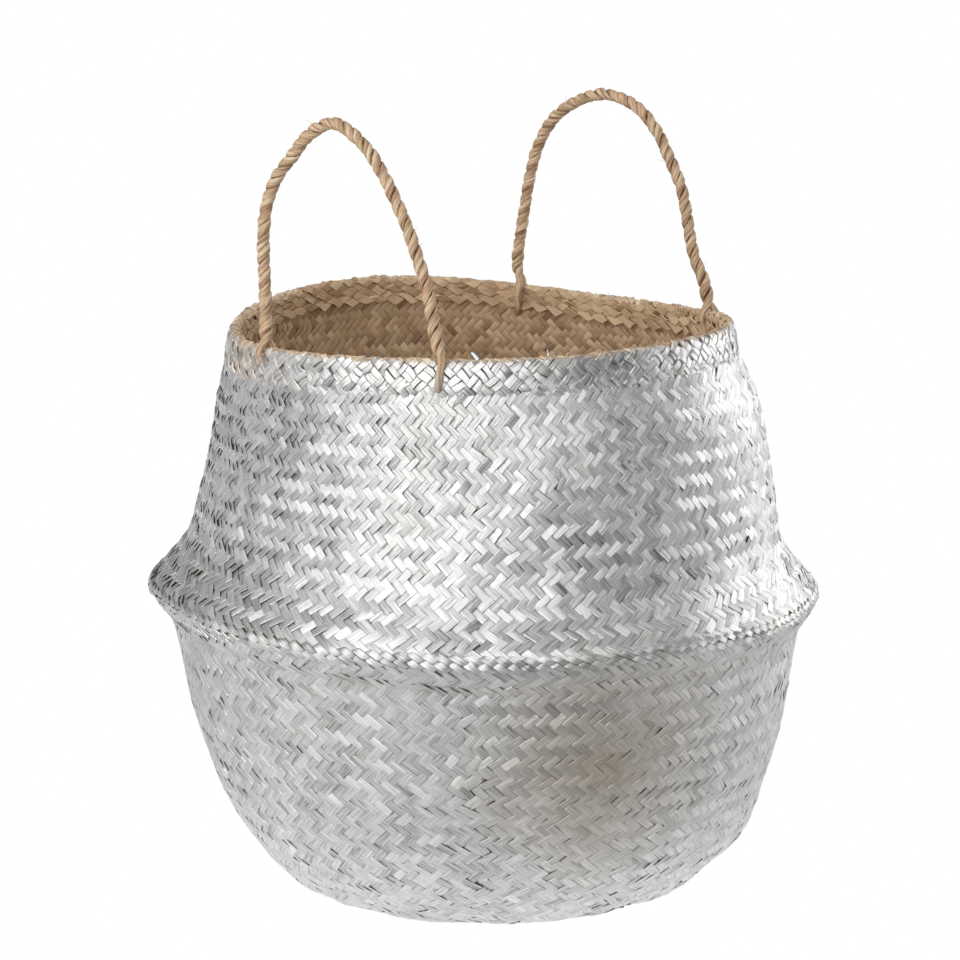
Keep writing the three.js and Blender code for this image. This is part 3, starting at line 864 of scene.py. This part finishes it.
faults = plan_faults(0.004, top_run, 11)
ROLL_HALF = 0.0055
top_row = top_run - 0.0005
upper_rows = [top_row]
while upper_rows[-1] - 2 * half_row_at(upper_rows[-1]) > nose_run + ROLL_HALF - 0.002:
    upper_rows.append(upper_rows[-1] - 2 * half_row_at(upper_rows[-1]))
stretch_by = (top_run - nose_run - ROLL_HALF) / (top_run - upper_rows[-1])
upper_rows = [top_run - (top_run - run) * stretch_by for run in upper_rows]
lower_rows = [nose_run - ROLL_HALF]
while lower_rows[-1] > 0.008:
    lower_rows.append(lower_rows[-1] - 2 * half_row_at(lower_rows[-1]))
rows = [(run, -1 if i % 2 == 0 else 1, half_row_at(run))
        for i, run in enumerate(upper_rows + [nose_run] + lower_rows)][::-1]
rows.append((top_row + 2 * half_row_at(top_run), 1, half_row_at(top_run)))
plan = plan_rows(wall, rows, faults, 21)
off_roll = (np.abs(plan["run"] - nose_run) > 0.5 * ROLL_HALF) & (plan["run"] < top_run + 0.0025)
outside = only(plan, off_roll)
BOWL_FLOATS = {"belly": 0.00006, "uneven": 1.15}
COLLAR_FLOATS = {"belly": 0.00006, "uneven": 1.7, "ridge": 0.00028}


def plait_piece(name, low, high, node=None):
    """The outside floats, inside floats and backing of one stretch of the wall, as three pieces. Above the
    bowl the outside floats lie less evenly and stand in ridges."""
    kind = BOWL_FLOATS if low < crease_run else COLLAR_FLOATS
    outer = strips_over(part_of(outside, low, high), wall.at, 31, **kind)
    out = silver_piece(f"{name}_outer_floats", [outer])
    hidden = high + (INTO_BORDER if name == "collar" else 0.0)
    within = strips_over(part_of(plan, low, hidden), wall.at, 32, face=-1.0, stations=TWILL_INSIDE, vary=0.8)
    sedge_piece(f"{name}_inner_floats", [within])
    backing_piece(f"{name}_backing", wall, low, min(hidden, top_run + 0.006))
    if node:
        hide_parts(node)


half_bowl = 0.5 * (heel_run + crease_run)
plait_piece("lower_bowl", heel_run, half_bowl, "lower_wall")
plait_piece("upper_bowl", half_bowl, crease_run)
plait_piece("belly_fold", crease_run, neck_run, "belly_fold")
plait_piece("collar", neck_run, top_run, "upper_wall")

# ---------------------------------------------------------------- roll along the belly's edge
# Where the sheet folds over at the belly, two rows of short stitches lean the same way, like a cord.
ROLL_STEP = 0.0021
roll_rows = [(nose_run - 0.0020, -1, ROLL_STEP), (nose_run + ROLL_STEP, -1, ROLL_STEP)]
roll_plan = plan_rows(wall, roll_rows, faults, 22)
STITCH = both_ends((0.0, 1.0), (0.55, 0.85), (0.93, 0.1), (1.10, -1.0))
roll = strips_over(roll_plan, wall.at, 33, level=0.0002, height=0.0010, stations=STITCH, width=1.08,
                   edge_drop=0.0005, belly=0.0004, uneven=2.0)
silver_piece("belly_edge_roll", [roll], sharp=35)

# ---------------------------------------------------------------- rim border
# The strands are turned over at the mouth and worked back in pairs, so the border is thicker and coarser
# than the wall. Paint covers its outside up to the rim's crown, and its inside is bare.
border_foot = np.array([RIM_MIDDLE + BORDER_LEAN, BORDER_FOOT + 0.0003])
border_top = np.array([RIM_MIDDLE, RIM_HEIGHT - BORDER_HALF])
border_up = unit(border_top - border_foot)
border_out = np.array([border_up[1], -border_up[0]])
arc = np.linspace(0, np.pi, 60)[:, None]
# The border's section, from the sheet's outside up over the crown and down to the sheet's inside
border_line = np.vstack([[(0.1532, 0.3170), (0.1536, 0.3205)],
                         [border_foot + border_out * BORDER_HALF],
                         border_top + BORDER_HALF * (np.cos(arc) * border_out + np.sin(arc) * border_up),
                         [border_foot - border_out * BORDER_HALF],
                         [(0.1490, 0.3180), (0.1506, 0.3118)]])
border = Skin(border_line, uneven=False)
PAIR_STEP = 0.00537
first_row = 0.0090 - PAIR_STEP
crown_run = border.run[np.argmax(border.line[:, 1])]
border_rows = [(first_row + PAIR_STEP * k, -1 if k % 2 == 0 else 1, PAIR_STEP) for k in range(7)]
border_faults = {"count": 89.0, "list": []}
border_plan = plan_rows(border, border_rows, border_faults, 23, apart=2)


def bare_over_crown(run, turn):
    """Where the paint ends, near the rim's crown: 0 painted, 1 bare. It is thin in one spot at the left."""
    wander = 0.0007 * slow_noise(turn, 0.25, 5) + 0.0005 * slow_noise(turn, 0.05, 6)
    left = np.exp(-((turn - np.radians(150)) / 0.25) ** 2)
    left = 1.4 * left * (0.5 + 0.5 * slow_noise(turn + 90 * run, 0.06, 9))
    crown = smooth_step(run + wander, crown_run - 0.0030, crown_run - 0.0016)
    return np.clip(crown + np.clip(left, 0, 1) * 0.6, 0, 1)


PAIR = ((-0.51, -0.44, -0.05, 0.0), (0.0, 0.05, 0.44, 0.51))
PLAIN = both_ends((0.0, 1.0), (0.43, 0.6), (0.54, -0.5), (0.8, -1.0))


def worked(run, turn, over):
    """The border's face, where each crossing is shifted by smooth waves of up to 1 mm, as hands leave it."""
    sideways = 0.0030 * np.sin(57 * turn + 260 * run) + 0.0022 * np.sin(97 * turn - 190 * run + 2)
    down = 0.0005 * np.sin(71 * turn - 240 * run + 1) + 0.0004 * np.sin(41 * turn + 330 * run)
    return border.at(run + down, turn + sideways, over)


crown_row = first_row + 4.5 * PAIR_STEP
outer_pairs = [strips_over(part_of(border_plan, 0.0, crown_row), worked, 51 + 10 * number, level=-0.0007,
                           height=0.0009, stations=PLAIN, cross=cross, edge_drop=0.00065,
                           bare=bare_over_crown, uneven=3.2)
               for number, cross in enumerate(PAIR)]
border_piece = silver_piece("border_outer_floats", outer_pairs)
# Inside, the turned-over strands lie like flat scales, and the lowest row's free ends stand off the wall
SCALE_STEP = 0.0027
teeth_run = crown_run + 0.0158
scale_rows = [(teeth_run - SCALE_STEP * k, -1 if k % 2 == 0 else 1, SCALE_STEP) for k in range(7)][::-1]
scale_plan = plan_rows(border, scale_rows, border_faults, 26, apart=2)
SCALE = both_ends((0.0, 1.0), (0.58, 0.7), (0.70, -0.3), (0.95, -1.0))
TOOTH = [(-0.76, 1.5), (-0.45, 1.35), *SCALE[3:]]
last_row, first_scales = teeth_run - 0.5 * SCALE_STEP, scale_rows[0][0] + 0.5 * SCALE_STEP
scales = [strips_over(only(scale_plan, mask), worked, seed, level=level, height=height, stations=stations,
                      edge_drop=0.0005, belly=0.0004, uneven=4.0, vary=0.45)
          for seed, level, height, stations, mask in (
              (71, -0.0012, 0.0008, PLAIN, scale_plan["run"] < first_scales),
              (72, -0.0007, 0.0008, PLAIN, scale_plan["lean"] > 0),
              (73, -0.0006, 0.0013, SCALE, (scale_plan["lean"] < 0) & (scale_plan["run"] > first_scales)
               & (scale_plan["run"] < last_row)),
              (74, -0.0004, 0.0014, TOOTH, scale_plan["run"] > last_row))]
sedge_piece("border_inner_floats", scales, sharp=28)
backing_piece("border_backing", border, 0.003, teeth_run)
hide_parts("rim_border")


END_RADIUS = 0.00022


def loose_end(angle, height, way, length, width, seed, over):
    """A strand's end that stands off the rim: a flat tapering tube from a point over the rim's crown, along
    a way given as sideways, outwards and up."""
    across, level = compass(angle)
    start = (RIM_MIDDLE + over) * across + [0, 0, RIM_HEIGHT + waves(RIM_WAVES, angle) + height]
    way = unit(way[0] * level + way[1] * across + np.array([0, 0, way[2]]))
    share = np.linspace(0, 1, 10)[:, None]
    middle = start + length * (share * way + 0.25 * share**2 * across)
    return tube_mesh(*fibrous_tube(middle, END_RADIUS, seed, side=across, sides=12, strips=3, taper=0.45,
                                   wide=width / (2 * END_RADIUS)))


# Each end's angle in degrees, height over the crown, way, length, width and place outwards
STRAND_ENDS = ((216.0, -0.0006, (-0.6, -0.6, 0.6), 0.0070, 0.0056, 0.001),
               (231.2, 0.0, (-0.1, -0.4, 0.9), 0.0044, 0.0013, 0.001),
               (147.0, -0.012, (0.2, 0.22, 0.95), 0.0085, 0.0020, 0.0040),
               (142.0, -0.016, (0.1, 0.25, 0.95), 0.0060, 0.0018, 0.0048),
               (153.0, -0.006, (0.5, 0.2, 0.8), 0.0050, 0.0016, 0.003))
silver_ends = [loose_end(np.radians(angle), height, way, length, width, 301 + number, over)
               for number, (angle, height, way, length, width, over) in enumerate(STRAND_ENDS)]
silver_piece("border_loose_strand_ends", silver_ends, sharp=None)
draw = np.random.default_rng(61)
rim_hairs = []
for hair in range(46):
    angle = draw.uniform(0, 2 * np.pi)
    start = ((RIM_MIDDLE + draw.uniform(-0.002, 0.003)) * compass(angle)[0]
             + [0, 0, RIM_HEIGHT + waves(RIM_WAVES, angle) - 0.0004])
    rim_hairs.append(whisker(start, draw.normal(0, 1, 3) + [0, 0, 0.6], draw.uniform(0.0015, 0.0035),
                             draw.uniform(0.00010, 0.00018), 400 + hair))
put_together("border_fibres", rim_hairs, straw, "basket")

# ---------------------------------------------------------------- base
# The flat bottom is plaited first, as a square twill, and its edge turns up into the bowl. The paint
# runs round the heel and a little way under it, and the rest of the underside is bare.
DISC_HALF_ROW = 0.00318


def plan_disc(radius, seed):
    """Crossings of a flat round sheet: the same rows of alternate lean on a straight lattice."""
    draw = np.random.default_rng(seed)
    half = DISC_HALF_ROW
    rows = []
    for order in range(-40, 41):
        lean = 1 if order % 2 == 0 else -1
        x, y = (2 * np.arange(-40, 41) + (0.5 if lean > 0 else 1.5)) * half, (2 * order + 0.5) * half
        x = x[np.hypot(x, y) < radius]
        count = len(x)
        step, still = np.full(count, 2 * half), np.zeros(count)
        rows.append((y + draw.normal(0, 0.0002, count), x, np.full(count, lean), step, step, step, still, still,
                     np.arange(count) + 40 * order + 2000))
    return dict(zip(PLAN_KEYS, (np.concatenate(column) for column in zip(*rows))))


def disc_over(run, turn, over):
    """The face that looks into the basket, whose edge rises with the heel."""
    rise = 0.0013 * smooth_step(np.hypot(turn, run), 0.106, 0.120)
    return np.stack([turn, run, rise - over], -1) + girth_shift(0.0)


def disc_under(run, turn, over):
    return disc_over(run, turn, np.minimum(over, 0.0002)) + (0, 0, 0.0002)


def turned_round(part):
    """The same floats with their faces turned round, for a sheet that is looked at from its other side."""
    points, quads, *others = part
    return points, quads[:, ::-1], *others


UNDER_RADIUS, PAINTED_FROM, FLOOR_RADIUS = 0.1122, 0.0985, 0.116
bottom = plan_disc(UNDER_RADIUS, 24)
painted = np.hypot(bottom["turn"], bottom["run"]) > PAINTED_FROM
under, under_edge = (turned_round(strips_over(only(bottom, mask), disc_under, seed, stations=TWILL_INSIDE))
                     for mask, seed in ((~painted, 34), (painted, 38)))
floor_side = turned_round(strips_over(plan_disc(FLOOR_RADIUS, 25), disc_over, 35, face=-1.0,
                                      stations=TWILL_INSIDE))
heel_out = strips_over(part_of(outside, 0.0, heel_run), wall.at, 36)
heel_in = strips_over(part_of(plan, 0.0, heel_run), wall.at, 37, face=-1.0, stations=TWILL_INSIDE)
base_piece = silver_piece("base_heel_floats", [heel_out, under_edge])
sedge_piece("base_underside_floats", [under])
sedge_piece("base_inner_floats", [floor_side, heel_in])
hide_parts("base")

# A thin disc under the middle of the base, with its edge carried up the heel
backing_piece("base_backing", Skin(np.vstack([[(0.0005, 0.0)], stretches[0]])), 0.0005, 0.1095 + heel_run)

# ---------------------------------------------------------------- floor and light
# A pale floor, seen by the camera as white, with a painted glow round the basket's foot and a painted shade
# ahead of it for the metal to mirror, a large soft lamp at the front left, a smaller one at the right, and a
# pale room round them.
def floor_finish():
    """Pale floor that the camera sees as white. What the metal paint mirrors is its lit and shaded colour,
    mixed with white, more so round the basket's foot: that white is a painted glow. A patch ahead of the
    basket's front right is made grey, as painted shade for the metal to mirror."""
    f = Finish(bpy.data.materials.new("pale_floor"))
    white = f.node("Emission", None, {"Color": (1, 1, 1, 1), "Strength": 1.0})
    place = f.place()
    away = f.vectors("LENGTH", place)
    ahead = f.vectors("DOT_PRODUCT", f.vectors("NORMALIZE", place, output=0), (-0.53, -0.85, 0.0))
    # Painted shade: the floor's colour is made grey ahead of the basket's front right, where the metal paint
    # mirrors it.
    darker = f.ramped(ahead, 0.45, 0.97) * f.ramped(away, 0.15, 0.24)
    lit = f.node("BsdfDiffuse", None, {"Color": f.mixed(darker, (0.8, 0.8, 0.8, 1.0), (0.40, 0.40, 0.40, 1.0))})
    # Painted light: near the basket's foot, what the metal mirrors is mostly the white glow.
    painted_glow_share = ((0.95 - f.ramped(away, 0.15, 0.36) * 0.73 + f.ramped(away, 0.33, 0.46) * 0.12)
                * (1.0 - darker * 0.48)).clamped()
    camera_ray, glossy, transmitted = (f.node("LightPath", output=f"Is {ray} Ray")
                                       for ray in ("Camera", "Glossy", "Transmission"))
    share = (camera_ray + (glossy + transmitted) * painted_glow_share).clamped()
    f.node("OutputMaterial", None, {"Surface": f.node("MixShader", None, {0: share, 1: lit, 2: white})})
    return f.block


def room_finish():
    """The room's light: even, with darker sides in front and at the right, and plain white for the camera."""
    f = Finish(bpy.data.worlds.new("room"))
    towards, aside, behind = (f.vectors("DOT_PRODUCT", f.node("TexCoord"), way)
                              for way in ((0.17, -0.98, 0.10), (0.93, 0.30, 0.20), (-0.62, 0.78, 0.10)))
    strength = (0.38 - f.ramped(towards, 0.70, 0.95) * 0.37 - f.ramped(aside, 0.2, 0.95) * 0.16
                + f.ramped(behind, 0.2, 0.95) * 0.16).clamped()
    room = f.node("Background", None, {"Color": (1, 1, 1, 1), "Strength": strength})
    plain = f.node("Background", None, {"Color": (1, 1, 1, 1), "Strength": 1.0})
    seen = f.node("LightPath", output="Is Camera Ray")
    f.node("OutputWorld", None, {"Surface": f.node("MixShader", None, {0: seen, 1: room, 2: plain})})
    return f.block


floor_mesh = bpy.data.meshes.new("floor")
floor_mesh.from_pydata([(-6, -6, 0), (6, -6, 0), (6, 6, 0), (-6, 6, 0)], [], [(0, 1, 2, 3)])
floor_mesh.materials.append(floor_finish())
floor = placed("floor", floor_mesh)
bpy.context.scene.world = room_finish()


def soft_lamp(name, place, aim, width, height, power):
    """A rectangular lamp that faces a point."""
    lamp = bpy.data.lights.new(name, "AREA")
    lamp.shape, lamp.size, lamp.size_y, lamp.energy = "RECTANGLE", width, height, power
    placed(name, lamp, place, aim).visible_camera = False


soft_lamp("left_lamp", (-1.96, -0.36, 1.32), (0, 0, 0.3), 3.8, 2.7, 50)
soft_lamp("right_lamp", (1.72, -0.80, 0.85), (0, 0, 0.3), 1.9, 1.5, 17.5)
